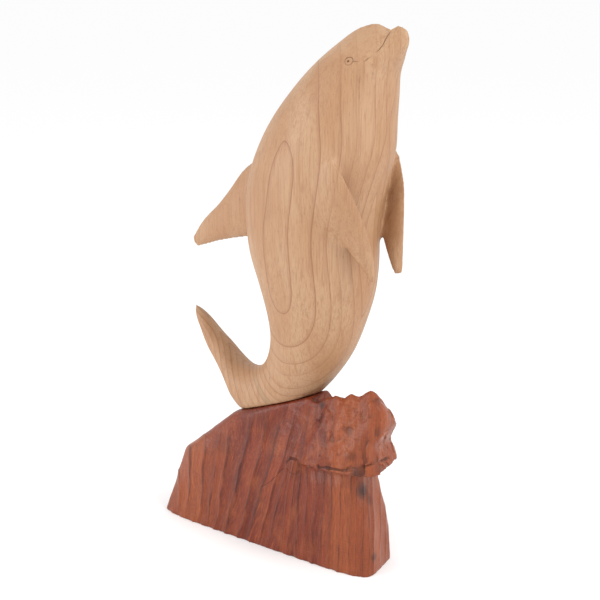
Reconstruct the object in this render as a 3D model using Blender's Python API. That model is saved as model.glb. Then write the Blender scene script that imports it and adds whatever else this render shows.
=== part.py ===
"""A dolphin carved in pale wood, leaping nose up from a rough-hewn base of red-brown wood.

The sculpture is two pieces. The dolphin is one carving, from its beak to the tip of its
upswept tail, and it stands on the belly of its tail bend. The base is one block, tooled
with gouge flutes below and left as a crag above, and its sloping seat carries the dolphin.

Frame: metres, +Z up, origin in the middle of the base's underside. The dolphin's belly
faces +X, its back fin and tail reach to -X, and its right side is at -Y.
"""

import math

import bmesh
import bpy
import numpy as np
from mathutils import Matrix, Vector
from mathutils.bvhtree import BVHTree

# Driving sizes of the base, in metres
BASE_LENGTH = 0.215
BASE_DEPTH = 0.061
SKIRT_LEAN = 0.0045
SEAT_HEIGHT = 0.112
SEAT_TILT = math.radians(20)
SEAT_MARGIN = 0.0014
FIT_GAP = 0.0003
SHOULDER_HEIGHT = 0.0565
SHOULDER_INSET = 0.0198
CRAG_RISE = 0.019
CRAG_TOP_DEPTH = 0.030
CRAG_BACK_DROP = 0.009
CRAG_BACK_SHARE = 0.4
CRAG_LUMP = 0.0016
LEDGE_HEIGHT = 0.0815
LEDGE_OVERHANG = 0.0075
UNDERCUT = 0.004
WAIST_INSET = 0.0095
END_SKEW = 0.018
END_TWIST = 0.25
SPLAY = 0.04
FLUTE_PITCH = 0.012
FLUTE_DEPTH = 0.0009
KNOT_RADIUS = 0.0075
KNOT_RISE = 0.0022

# Driving sizes of the dolphin, in metres
FIGURE_HEIGHT = 0.2913
FOOT_FROM_LEFT_END = 0.109
EYE_RADIUS = 0.0030
EYE_GROOVE = 0.0005
MOUTH_DEPTH = 0.0070
MOUTH_GAPE = 0.0160
MOUTH_SPREAD = 0.0085
MOUTH_LINE = 0.0012
MOUTH_LINE_WIDTH = 0.0011
MOUTH_CLEAR = 0.0015

# The dolphin's trunk, in hundredths of its height from the middle of its foot.
# Each station is a point of the back (x, z), a point of the belly (x, z) and a half width.
TAIL_TIP = (-30.6, 21.8)
TAIL_STATIONS = (
    ((-29.6, 21.3), (-30.2, 19.9), 0.9),
    ((-28.2, 20.5), (-29.4, 18.2), 1.6),
    ((-25.6, 18.7), (-27.6, 15.2), 2.3),
    ((-22.2, 15.6), (-25.0, 11.0), 3.2),
    ((-18.6, 13.0), (-21.1, 6.5), 3.9),
    ((-15.5, 10.0), (-17.0, 1.9), 5.0),
    ((-12.2, 8.0), (-13.7, -2.9), 6.0),
    ((-8.5, 8.0), (-8.1, -5.8), 6.8),
    ((-5.2, 9.5), (-0.6, -4.1), 7.2),
    ((-2.8, 12.1), (7.2, 0.0), 7.9),
    ((-1.1, 15.8), (14.8, 6.8), 9.1),
)
TRUNK_STATIONS = (
    ((-0.5, 21.2), (21.8, 16.2), 10.5),
    ((-1.9, 28.5), (25.8, 25.5), 12.2),
    ((-3.9, 34.9), (28.0, 32.8), 13.6),
    ((-6.0, 41.0), (28.7, 39.3), 14.7),
    ((-7.0, 50.4), (28.7, 50.4), 15.7),
    ((-6.1, 60.8), (30.8, 60.8), 16.1),
    ((-2.6, 69.8), (33.1, 69.8), 15.6),
    ((2.1, 77.5), (33.6, 77.5), 14.1),
    ((7.2, 83.7), (34.3, 83.7), 12.3),
)
HEAD_STATIONS = (
    ((11.9, 88.6), (34.8, 88.6), 10.6),
    ((17.5, 93.5), (37.6, 93.5), 8.1),
    ((20.4, 95.9), (39.0, 95.9), 5.3),
    ((24.1, 98.5), (38.6, 98.4), 2.2),
    ((27.8, 99.8), (37.0, 99.7), 0.6),
)
SNOUT_TIP = (31.9, 100.0)
BEAK_FROM = 90.0
BEAK_FULL = 96.5
BEAK_TAPER = 0.5
TRUNK_RINGS = 56
TRUNK_SIDES = 32

# The fins, in the same hundredths. Each edge runs from the root, inside the trunk, to the tip,
# and each half is half the fin's thickness there.
BACK_FIN_FRONT = ((-1.0, 67.4), (-12.1, 61.0), (-17.3, 55.0), (-21.7, 50.4), (-27.0, 45.6), (-30.9, 40.3))
BACK_FIN_REAR = ((-1.0, 44.6), (-11.6, 43.3), (-17.6, 41.9), (-22.3, 40.6), (-24.8, 39.7), (-29.2, 38.3))
BACK_FIN_HALF = (3.2, 2.4, 1.9, 1.5, 1.0, 0.45)
PECTORAL_FRONT = (
    (19.9, 8.9, 71.7),
    (26.5, 13.2, 69.2),
    (29.3, 11.9, 64.5),
    (31.2, 10.6, 59.8),
    (32.4, 9.0, 55.3),
    (33.5, 7.3, 49.8),
    (34.2, 6.2, 43.9),
    (34.3, 5.9, 39.4),
)
PECTORAL_REAR = (
    (15.5, 8.0, 58.5),
    (20.7, 12.4, 55.9),
    (24.3, 11.8, 52.5),
    (25.4, 9.8, 50.1),
    (26.8, 8.1, 47.6),
    (28.5, 7.0, 44.9),
    (31.2, 5.5, 41.1),
    (32.6, 5.3, 38.8),
)
PECTORAL_HALF = (1.2, 1.2, 1.1, 1.1, 1.3, 1.2, 1.0, 0.5)
FIN_RINGS = 18
FIN_SIDES = 14
FIN_TIP_REACH = 0.3

# The face, in the same hundredths
EYE_AT = (28.1, 91.7)
EYE_SIDES = 16
EYE_GROOVE_SIDES = 6
MOUTH_PATH = (
    (30.9, 90.8),
    (31.6, 91.5),
    (32.7, 92.9),
    (33.8, 94.3),
    (34.5, 95.9),
    (34.6, 97.2),
    (34.2, 98.6),
    (33.2, 99.2),
)
MOUTH_INSIDE = (33.6, 91.0)
MOUTH_STEPS = 15
MOUTH_CASTS = 40
MOUTH_LIFT = 0.15

# The base's skin. A way up its side runs from 0 at the underside to 1 at the top, and a share
# of its length from 0 at the left end to 1 at the right. Across the top, -1 is in front and 1 behind.
PLAN_SQUARENESS = 5.8
PLAN_SAMPLES = 2001
POINTS_PER_FLUTE = 3
SKIRT_LEVELS = 8
CRAG_LEVELS = 7
LEDGE_STEP = 0.012
LEDGE_START = 0.63
LEDGE_FULL = 0.72
UNDERCUT_START = 0.8
END_START = 0.76
CRAG_START = 0.08
RIM_START = 0.75
RIM_REACH = 0.010
BACK_LEDGE = 0.5
BACK_FLUTES = 0.6
CRAG_FLUTES = 0.3
RIGHT_END = ((0.0, 0.0), (0.12, 0.0), (0.42, -0.2), (0.6, -0.6), (0.8, -1.15), (1.0, -1.25))
CRAG_END = (
    (0.0, 1.0),
    (0.14, 0.9),
    (0.22, 0.3),
    (0.34, 0.1),
    (0.54, 0.7),
    (0.76, 1.4),
    (0.89, 0.7),
    (1.0, -0.3),
)
CRAG_TOP = (
    (0.0, 0.0),
    (0.1, -0.1),
    (0.17, 0.0),
    (0.27, 0.2),
    (0.39, 0.4),
    (0.5, 0.36),
    (0.59, 0.66),
    (0.69, 0.55),
    (0.745, 0.7),
    (0.84, 1.0),
    (0.92, 0.95),
    (1.0, 0.8),
)
TOP_COLUMNS = (-0.5, 0.0, 0.4, 0.75)
LUMP_GRID = (9, 6)
SEED = 11
# Each knot: share of the base's length, height in metres, share of the knot's size
KNOTS = ((0.655, 0.074, 1.0), (0.905, 0.0945, 0.8))
KNOT_SIDES = 14

# Edges turning more than this are shown sharp
SHARP_ON_FIGURE = math.radians(40)
SHARP_ON_BASE = math.radians(28)


def share(value):
    """A length of the dolphin, from hundredths of its height."""
    return value * FIGURE_HEIGHT / 100


def foot_x():
    """Where the middle of the dolphin's foot stands along the base."""
    return FOOT_FROM_LEFT_END - BASE_LENGTH / 2


def figure_point(x, z, y=0.0):
    """A point of the dolphin, from hundredths of its height."""
    return np.array([foot_x() + share(x), share(y), SEAT_HEIGHT + share(z)])


def seat_z(x):
    """Height of the seat's plane at x."""
    return SEAT_HEIGHT + (x - foot_x()) * math.tan(SEAT_TILT)


def ease(value, start, full):
    """A smooth climb from 0 at start to 1 at full."""
    t = np.clip((value - start) / (full - start), 0, 1)
    return t * t * (3 - 2 * t)


def read_profile(rows, at):
    """Value of a profile, given as (place, value) rows, at a place along it."""
    places, values = np.array(rows).T
    return np.interp(at, places, values)


def smooth_through(rows, count):
    """Rows evenly spaced along the smooth curve through the given rows, ends included."""
    rows = np.asarray(rows, float)
    at = np.concatenate([[0], np.cumsum(np.linalg.norm(np.diff(rows, axis=0), axis=1))])
    slopes = np.gradient(rows, at, axis=0)
    wanted = np.linspace(0, at[-1], count)
    i = np.clip(np.searchsorted(at, wanted, side="right") - 1, 0, len(at) - 2)
    span = (at[i + 1] - at[i])[:, None]
    t = (wanted - at[i])[:, None] / span
    leave = (2 * t**3 - 3 * t**2 + 1) * rows[i] + (t**3 - 2 * t**2 + t) * span * slopes[i]
    arrive = (3 * t**2 - 2 * t**3) * rows[i + 1] + (t**3 - t**2) * span * slopes[i + 1]
    return leave + arrive


def as_object(name, mesh):
    """A new object in the scene that holds this bmesh, its faces pointing out."""
    bmesh.ops.recalc_face_normals(mesh, faces=mesh.faces)
    data = bpy.data.meshes.new(name)
    mesh.to_mesh(data)
    mesh.free()
    obj = bpy.data.objects.new(name, data)
    bpy.context.scene.collection.objects.link(obj)
    return obj


def lofted(name, rings, first=None, last=None):
    """A closed object through rings of equal size, with a point or a flat cap at each end."""
    mesh = bmesh.new()
    loops = [[mesh.verts.new(point) for point in ring] for ring in rings]
    for low, high in zip(loops, loops[1:]):
        bridge(mesh, low, high)
    for loop, pole in ((loops[0], first), (loops[-1], last)):
        if pole is None:
            mesh.faces.new(loop)
            continue
        tip = mesh.verts.new(pole)
        for i, corner in enumerate(loop):
            mesh.faces.new((corner, loop[(i + 1) % len(loop)], tip))
    return as_object(name, mesh)


def bridge(mesh, low, high):
    """A band of faces between two closed loops of vertices."""
    for i in range(len(low)):
        after = (i + 1) % len(low)
        mesh.faces.new((low[i], low[after], high[after], high[i]))


def combine(target, tool, operation):
    """Joins a helper to the target, or cuts it away, with a Boolean modifier."""
    tool.hide_render = True
    tool.display_type = "WIRE"
    modifier = target.modifiers.new(tool.name, "BOOLEAN")
    modifier.operation = operation
    modifier.solver = "EXACT"
    modifier.object = tool


def wood(name, colour, roughness):
    """A plain wood material."""
    material = bpy.data.materials.new(name)
    material.use_nodes = True
    shader = material.node_tree.nodes["Principled BSDF"]
    shader.inputs["Base Color"].default_value = (*colour, 1.0)
    shader.inputs["Roughness"].default_value = roughness
    shader.inputs["Metallic"].default_value = 0.0
    return material


def finish(obj, material, sharp_from):
    """Gives an object its material, and shades it smooth but for edges that turn sharply."""
    obj.data.materials.append(material)
    obj.data.shade_smooth()
    obj.data.set_sharp_from_angle(angle=sharp_from)


def surface_of(obj):
    """The object's own mesh as a tree to cast rays at."""
    shape = bmesh.new()
    shape.from_mesh(obj.data)
    tree = BVHTree.FromBMesh(shape)
    shape.free()
    return tree


def trunk():
    """The dolphin's trunk, one smooth loft from the tail's tip to the snout."""
    rows = [(*back, *belly, half) for back, belly, half in TAIL_STATIONS + TRUNK_STATIONS + HEAD_STATIONS]
    turn = np.arange(TRUNK_SIDES) * 2 * math.pi / TRUNK_SIDES
    rings = []
    for back_x, back_z, belly_x, belly_z, half in smooth_through(rows, TRUNK_RINGS):
        back, belly = figure_point(back_x, back_z), figure_point(belly_x, belly_z)
        middle, reach = (back + belly) / 2, (belly - back) / 2
        taper = BEAK_TAPER * ease((back_z + belly_z) / 2, BEAK_FROM, BEAK_FULL)
        width = share(half) * (1 - taper * ((1 + np.cos(turn)) / 2) ** 2)
        sides = np.outer(width * np.sin(turn), (0, 1, 0))
        rings.append(middle + np.outer(np.cos(turn), reach) + sides)
    return lofted("dolphin", rings, figure_point(*TAIL_TIP), figure_point(*SNOUT_TIP))


def fin(name, front, rear, halves):
    """A fin with lens-shaped sections between its front and rear edges, from root to tip."""
    rows = smooth_through(np.hstack([front, rear, np.reshape(halves, (-1, 1))]), FIN_RINGS)
    fronts, rears, half = rows[:, :3], rows[:, 3:6], rows[:, 6:]
    middles, chords = (fronts + rears) / 2, (fronts - rears) / 2
    across = np.cross(chords, np.gradient(middles, axis=0))
    across *= half / np.linalg.norm(across, axis=1, keepdims=True)
    turn = np.arange(FIN_SIDES) * 2 * math.pi / FIN_SIDES
    rings = []
    for middle, chord, normal in zip(middles, chords, across):
        rings.append([middle + chord * math.cos(a) + normal * math.sin(a) for a in turn])
    tip = middles[-1] + (middles[-1] - middles[-2]) * FIN_TIP_REACH
    return lofted(name, rings, None, tip)


def back_fin():
    """The swept fin in the middle of the back."""
    front = [figure_point(x, z) for x, z in BACK_FIN_FRONT]
    rear = [figure_point(x, z) for x, z in BACK_FIN_REAR]
    return fin("back_fin_shape", front, rear, [share(half) for half in BACK_FIN_HALF])


def pectoral_fin(name, side):
    """A pectoral fin, held down before the belly; side is -1 for the right one and 1 for the left."""
    front = [figure_point(x, z, side * y) for x, y, z in PECTORAL_FRONT]
    rear = [figure_point(x, z, side * y) for x, y, z in PECTORAL_REAR]
    return fin(name, front, rear, [share(half) for half in PECTORAL_HALF])


def eye_cutter(name, surface, side):
    """A slim ring, half sunk in the head's surface, that cuts the groove round one eye."""
    outside = Vector(figure_point(*EYE_AT, side * 100))
    spot, normal, _, _ = surface.ray_cast(outside, Vector((0, -side, 0)))
    turn = normal.to_track_quat("Z", "Y").to_matrix()
    mesh = bmesh.new()
    loops = []
    for a in np.arange(EYE_SIDES) * 2 * math.pi / EYE_SIDES:
        outward = turn @ Vector((math.cos(a), math.sin(a), 0))
        middle = surface.ray_cast(spot + outward * EYE_RADIUS + normal * EYE_RADIUS, -normal)[0]
        loop = []
        for b in np.arange(EYE_GROOVE_SIDES) * 2 * math.pi / EYE_GROOVE_SIDES:
            rise = (outward * math.cos(b) + normal * math.sin(b)) * EYE_GROOVE
            loop.append(mesh.verts.new(middle + rise))
        loops.append(loop)
    for low, high in zip(loops, loops[1:] + loops[:1]):
        bridge(mesh, low, high)
    return as_object(name, mesh)


def mouth_line(surface):
    """Evenly spaced points of the mouth's line, from corner to corner over the snout."""
    above = Vector(figure_point(MOUTH_PATH[-1][0], 200))
    top = surface.ray_cast(above, Vector((0, 0, -1)))[0]
    rows = [figure_point(x, z)[[0, 2]] for x, z in MOUTH_PATH] + [np.array([top.x, top.z])]
    way = np.concatenate([[0], np.cumsum(np.linalg.norm(np.diff(rows, axis=0), axis=1))])
    spots = []
    for quarter in np.linspace(0, math.pi / 2, MOUTH_CASTS, endpoint=False):
        x, z = (np.interp(way[-1] * math.sin(quarter), way, column) for column in np.transpose(rows))
        spots.append(surface.ray_cast(Vector((x, -FIGURE_HEIGHT, z)), Vector((0, 1, 0)))[0])
    mirrored = [Vector((spot.x, -spot.y, spot.z)) for spot in spots]
    return smooth_through(spots + [top] + mirrored[::-1], 2 * MOUTH_STEPS + 1)


def mouth_cutter(surface):
    """The V-shaped cut of the mouth, wide and deep at the snout, a thin line along the sides."""
    inside = figure_point(*MOUTH_INSIDE)
    spots = mouth_line(surface)
    ways = np.gradient(spots, axis=0)
    length = np.linalg.norm(ways, axis=1).sum() / 2
    loops = []
    for spot, along, off in zip(spots, ways, np.abs(np.linspace(-1, 1, len(spots)))):
        gape = 1 - ease(off * length, 0, MOUTH_SPREAD)
        along = along * (1 - gape) + np.array([0.0, np.linalg.norm(along), 0.0]) * gape
        outward = (spot - inside) / np.linalg.norm(spot - inside)
        sideways = np.cross(along, outward) / np.linalg.norm(np.cross(along, outward))
        line = MOUTH_LINE * (1 - (1 + MOUTH_LIFT) * off**4)
        depth = line + (MOUTH_DEPTH - MOUTH_LINE) * gape
        thin, wide = MOUTH_LINE_WIDTH / MOUTH_LINE, MOUTH_GAPE / MOUTH_DEPTH
        half = (thin + (wide - thin) * gape) / 2 * (depth + MOUTH_CLEAR)
        rim = spot + outward * MOUTH_CLEAR
        loops.append([spot - outward * depth, rim + sideways * half, rim - sideways * half])
    return lofted("mouth_cutter", loops)


def seat_cutter():
    """A block that gives the foot its flat underside, one fit gap above the seat."""
    size = FIGURE_HEIGHT
    mesh = bmesh.new()
    bmesh.ops.create_cube(mesh, size=1.0, matrix=Matrix.Diagonal((size, size, size / 2, 1.0)))
    place = Matrix.Translation((foot_x(), 0, SEAT_HEIGHT)) @ Matrix.Rotation(-SEAT_TILT, 4, "Y")
    place = place @ Matrix.Translation((0, 0, FIT_GAP - size / 4))
    bmesh.ops.transform(mesh, matrix=place, verts=mesh.verts)
    return as_object("seat_cutter", mesh)


def dolphin():
    """The whole dolphin: trunk, fins, mouth and eyes, cut to the seat."""
    figure = trunk()
    surface = surface_of(figure)
    combine(figure, back_fin(), "UNION")
    combine(figure, pectoral_fin("right_fin_shape", -1), "UNION")
    combine(figure, pectoral_fin("left_fin_shape", 1), "UNION")
    combine(figure, mouth_cutter(surface), "DIFFERENCE")
    combine(figure, eye_cutter("right_eye_cutter", surface, -1), "DIFFERENCE")
    combine(figure, eye_cutter("left_eye_cutter", surface, 1), "DIFFERENCE")
    combine(figure, seat_cutter(), "DIFFERENCE")
    finish(figure, wood("pale_wood", (0.62, 0.42, 0.26), 0.5), SHARP_ON_FIGURE)
    return figure


def foot_outline(figure):
    """The foot's left end, right end and half width, where the dolphin meets the seat."""
    bpy.context.view_layer.update()
    solid = figure.evaluated_get(bpy.context.evaluated_depsgraph_get()).to_mesh()
    points = np.array([vertex.co[:] for vertex in solid.vertices])
    sole = points[points[:, 2] < seat_z(points[:, 0]) + 2 * FIT_GAP]
    return sole[:, 0].min(), sole[:, 0].max(), np.abs(sole[:, 1]).max()


def plan_points():
    """Even steps along half of the underside's outline, as shares of its length and half depth."""
    turn = np.linspace(math.pi, 0, PLAN_SAMPLES)
    power = 2 / PLAN_SQUARENESS
    along = (1 + np.sign(np.cos(turn)) * np.abs(np.cos(turn)) ** power) / 2
    depth = np.abs(np.sin(turn)) ** power
    steps = np.hypot(np.diff(along) * BASE_LENGTH, np.diff(depth) * BASE_DEPTH / 2)
    way = np.concatenate([[0], np.cumsum(steps)])
    wanted = np.linspace(0, way[-1], POINTS_PER_FLUTE * round(way[-1] / FLUTE_PITCH) + 1)
    return np.interp(wanted, way, along), np.interp(wanted, way, depth)


class Base:
    """The base's skin, worked out level by level round the foot that it carries."""

    def __init__(self, foot_left, foot_right, foot_half):
        self.left, self.right = foot_left - SEAT_MARGIN, foot_right + SEAT_MARGIN
        self.end = BASE_LENGTH / 2
        self.crag_end = self.end + LEDGE_OVERHANG * CRAG_END[-1][1]
        self.along, self.depth = plan_points()
        self.top_x = self.left + (self.crag_end - self.left) * self.along
        middle = (foot_left + foot_right) / 2
        beyond = np.clip((self.top_x - middle) / (foot_right - middle), 0, 1)
        self.seat_half = np.maximum(foot_half * np.sqrt(1 - beyond**2) + SEAT_MARGIN, CRAG_TOP_DEPTH / 2)
        self.ledge_way = LEDGE_HEIGHT / self.level_top(self.crag_end)
        self.lumps = np.random.default_rng(SEED).uniform(-1, 1, LUMP_GRID)

    def level_top(self, x):
        """Height of the top at x, without the crag's peaks."""
        past = np.clip((x - self.right) / (self.crag_end - self.right), 0, 1)
        return seat_z(np.minimum(x, self.right)) + CRAG_RISE * CRAG_TOP[-1][1] * past

    def full_top(self, x, across):
        """Height of the top at x: the seat, and past the foot the crag; across is -1 in front, 1 behind."""
        past = np.clip((x - self.right) / (self.crag_end - self.right), 0, 1)
        behind = (across + 1) / 2
        rim = ease(across, RIM_START, 1) * ease(x, self.right - RIM_REACH, self.right)
        rise = CRAG_RISE * (1 - (1 - CRAG_BACK_SHARE) * behind)
        drop = CRAG_BACK_DROP * np.maximum(behind * ease(past, 0, CRAG_START), rim)
        return seat_z(np.minimum(x, self.right)) + rise * read_profile(CRAG_TOP, past) - drop

    def end_shift(self, way):
        """How far the right end stands out or in at a way up, past its straight line."""
        if way <= self.ledge_way:
            reading = read_profile(RIGHT_END, way / self.ledge_way)
            straight = (self.crag_end - self.end) * way
            return WAIST_INSET * reading - straight
        past = (way - self.ledge_way) / (1 - self.ledge_way)
        return LEDGE_OVERHANG * read_profile(CRAG_END, past) - (self.crag_end - self.end) * way

    def left_x(self, way):
        """Where the left end stands at a way up."""
        shoulder = (SHOULDER_HEIGHT, SHOULDER_INSET - self.end)
        rows = ((0.0, -self.end), shoulder, (seat_z(self.left), self.left))
        return read_profile(rows, way * seat_z(self.left))

    def half_depth(self, way, ledge):
        """Half the base's depth at a way up, for a share of the ledge's full overhang."""
        skirt = BASE_DEPTH / 2 - SKIRT_LEAN * min(way / self.ledge_way, 1)
        past = max(0.0, (way - self.ledge_way) / (1 - self.ledge_way))
        crag = ease(self.along, LEDGE_START, LEDGE_FULL)
        seat_side = skirt + (self.seat_half - skirt) * past
        crag_side = skirt + (CRAG_TOP_DEPTH / 2 - skirt) * past**2
        if past > 0:
            crag_side = crag_side + LEDGE_OVERHANG * ledge * (1 - past)
        else:
            crag_side = crag_side - UNDERCUT * ledge * ease(way / self.ledge_way, UNDERCUT_START, 1)
        return seat_side + (crag_side - seat_side) * crag

    def lump(self, way):
        """The crag's hewn unevenness at a way up, for each step along."""
        past = np.clip((way - self.ledge_way) / (1 - self.ledge_way), 0, 1)
        rows = past * (LUMP_GRID[1] - 1)
        row = min(int(rows), LUMP_GRID[1] - 2)
        line = self.lumps[:, row] + (self.lumps[:, row + 1] - self.lumps[:, row]) * (rows - row)
        spread = np.interp(self.along, np.linspace(LEDGE_START, 1, LUMP_GRID[0]), line)
        return CRAG_LUMP * spread * ease(self.along, LEDGE_START, LEDGE_FULL) * (past > 0)

    def half_ring(self, way, side):
        """Points along one long side at a way up, from the left end to the right; side is -1 or 1."""
        front = side < 0
        flute = FLUTE_DEPTH * (np.arange(len(self.along)) % POINTS_PER_FLUTE > 0)
        if not front:
            flute = flute * BACK_FLUTES
        crag = ease(self.along, LEDGE_START, LEDGE_FULL)
        if way > self.ledge_way:
            flute = flute * (1 - crag * (1 - CRAG_FLUTES)) * (1 - ease(way, self.ledge_way, 1))
        half = self.half_depth(way, 1.0 if front else BACK_LEDGE) * (1 + SPLAY * (1 - 2 * self.along))
        half = half - flute + self.lump(way)
        left = self.left_x(way)
        straight_end = self.end + (self.crag_end - self.end) * way
        x = left + (straight_end - left) * self.along + self.end_shift(way) * ease(self.along, END_START, 1)
        y = side * self.depth * half
        skew = END_SKEW * (1 - END_TWIST * (1 - way))
        x = x - skew * ease(self.along, LEDGE_START, 1) * (y / BASE_DEPTH + 0.5)
        across = side * self.depth
        peaks = self.full_top(self.top_x, across) - self.level_top(self.top_x)
        z = way * self.level_top(self.top_x) + peaks * ease(way, self.ledge_way, 1)
        if way == 1:
            z = self.full_top(x, across)
        return np.stack([x, y, z], axis=1)

    def skin(self):
        """The base's closed mesh: underside, levels up the side, and top."""
        under = np.linspace(0, self.ledge_way, SKIRT_LEVELS)
        over = np.linspace(self.ledge_way + LEDGE_STEP, 1, CRAG_LEVELS)
        mesh = bmesh.new()
        rings = []
        for way in np.concatenate([under, over]):
            front, back = self.half_ring(way, -1), self.half_ring(way, 1)
            points = np.concatenate([front, back[-2:0:-1]])
            rings.append([mesh.verts.new(point) for point in points])
        for low, high in zip(rings, rings[1:]):
            bridge(mesh, low, high)
        self.close_across(mesh, rings[0], ())
        self.close_across(mesh, rings[-1], TOP_COLUMNS)
        return as_object("base", mesh)

    def close_across(self, mesh, ring, columns):
        """Closes a ring by strips from its front to its back, with vertices at the given columns."""
        last = len(self.along) - 1
        strips = [[ring[0]]]
        for i in range(1, last):
            front, back = ring[i], ring[-i]
            strip = [front]
            for column in columns:
                spot = front.co.lerp(back.co, (column + 1) / 2)
                spot.z = self.full_top(spot.x, column * self.depth[i])
                strip.append(mesh.verts.new(spot))
            strips.append(strip + [back])
        strips.append([ring[last]])
        for near, far in zip(strips, strips[1:]):
            if len(near) == 1 or len(far) == 1:
                tip, row = (near[0], far) if len(near) == 1 else (far[0], near)
                for a, b in zip(row, row[1:]):
                    mesh.faces.new((tip, a, b))
                continue
            for a, b, c, d in zip(near, near[1:], far[1:], far):
                mesh.faces.new((a, b, c, d))


def knot(name, surface, along, height, size):
    """A round knot that stands a little proud of the base's front."""
    x = (along * 2 - 1) * BASE_LENGTH / 2
    spot, normal, _, _ = surface.ray_cast(Vector((x, -BASE_DEPTH, height)), Vector((0, 1, 0)))
    radius = KNOT_RADIUS * size
    turn = normal.to_track_quat("Z", "Y").to_matrix().to_4x4()
    place = Matrix.Translation(spot) @ turn @ Matrix.Diagonal((radius, radius, KNOT_RISE, 1.0))
    mesh = bmesh.new()
    bmesh.ops.create_uvsphere(
        mesh, u_segments=KNOT_SIDES, v_segments=KNOT_SIDES // 2, radius=1.0, matrix=place
    )
    return as_object(name, mesh)


def base(figure):
    """The whole base, with the seat that fits the dolphin's foot."""
    block = Base(*foot_outline(figure)).skin()
    surface = surface_of(block)
    for number, (along, height, size) in enumerate(KNOTS, start=1):
        combine(block, knot(f"knot_shape_{number}", surface, along, height, size), "UNION")
    finish(block, wood("red_brown_wood", (0.24, 0.062, 0.025), 0.35), SHARP_ON_BASE)
    return block


def main():
    """Clears the scene and builds both pieces."""
    for obj in list(bpy.data.objects):
        bpy.data.objects.remove(obj, do_unlink=True)
    base(dolphin())


main()
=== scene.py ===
"""The looks of a dolphin carved in smooth pale wood, on a rough-hewn base of red-brown wood.

Each of the two solids gets one finer mesh over it. The dolphin is sanded smooth, with its mouth
and eyes cut sharp, and its wood shows growth rings that run on through the whole carving. The
base is worked over with a gouge, and keeps the crag, knots, crack and stains of its block.

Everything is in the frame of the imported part. Objects, lights and Geometry Nodes are in metres.
What is cut into a mesh, and the patterns of the finishes, are in millimetres.
"""

import logging
import math
from dataclasses import dataclass
from enum import Enum
from typing import Callable, Sequence

import bmesh
import bpy
import numpy as np
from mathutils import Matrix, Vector


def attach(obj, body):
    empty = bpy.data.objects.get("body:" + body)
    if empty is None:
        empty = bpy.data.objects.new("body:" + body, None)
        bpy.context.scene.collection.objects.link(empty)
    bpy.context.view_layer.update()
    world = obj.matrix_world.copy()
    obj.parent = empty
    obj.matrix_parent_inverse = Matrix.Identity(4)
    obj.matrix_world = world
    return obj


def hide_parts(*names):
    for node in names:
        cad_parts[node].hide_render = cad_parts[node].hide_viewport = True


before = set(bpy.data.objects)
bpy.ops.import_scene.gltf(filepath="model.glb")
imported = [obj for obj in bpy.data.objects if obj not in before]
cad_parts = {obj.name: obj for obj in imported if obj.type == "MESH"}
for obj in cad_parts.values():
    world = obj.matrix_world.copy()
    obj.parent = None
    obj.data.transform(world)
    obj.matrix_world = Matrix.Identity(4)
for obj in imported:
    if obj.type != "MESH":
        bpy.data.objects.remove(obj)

PHOTO_WIDTH = 600
SENSOR_WIDTH = 36.0
MILLIMETRES = 1000.0
BODY = "root"
MERGE_GAP = 1e-6
SEAT_HEIGHT = 112.0
SEAT_MIDDLE = 1.5
SEAT_TILT = math.radians(20)

Socket = bpy.types.NodeSocket
Feed = Socket | float | int | Sequence[float]
Colour = tuple[float, float, float]
Place = tuple[float, float, float]
Profile = tuple[tuple[float, float], ...]

log = logging.getLogger("dolphin")


class Slot(Enum):
    """The record's material slots."""

    PALE = "pale_wood"
    RED = "red_brown_wood"


class Mark(Enum):
    """Names of the values that a mesh carries for its finish."""

    # Painted shade in carved grooves, under the base's ledge and round its knot, together with real stains,
    # cracks and grain.
    SHADE_AND_STAIN = "painted_shade_and_stain"
    RING = "ring"
    RING_STEP = "ring_step"
    FIN = "fin"
    FLUTE = "flute"
    WORK = "work"
    CHIP = "chip"


def smooth_step(value: np.ndarray, start: float, full: float) -> np.ndarray:
    """A smooth climb from 0 where value is start to 1 where it is full, which may be the lower one."""
    t = np.clip((value - start) / (full - start), 0, 1)
    return t * t * (3 - 2 * t)


def linear(red: int, green: int, blue: int) -> Colour:
    """A colour as the shaders take it.

    Args:
        red: Red as a screen shows it, from 0 to 255.
        green: Green, in the same way.
        blue: Blue, in the same way.

    Returns:
        The same colour in linear light.
    """
    shares = np.array([red, green, blue]) / 255
    low, high = shares / 12.92, ((shares + 0.055) / 1.055) ** 2.4
    return tuple(float(v) for v in np.where(shares <= 0.04045, low, high))


@dataclass(frozen=True)
class Pattern:
    """Soft noise: how many lumps fit in a unit along each axis, its finer layers and their strength."""

    stretch: Place
    detail: float = 2.0
    roughness: float = 0.5


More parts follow.
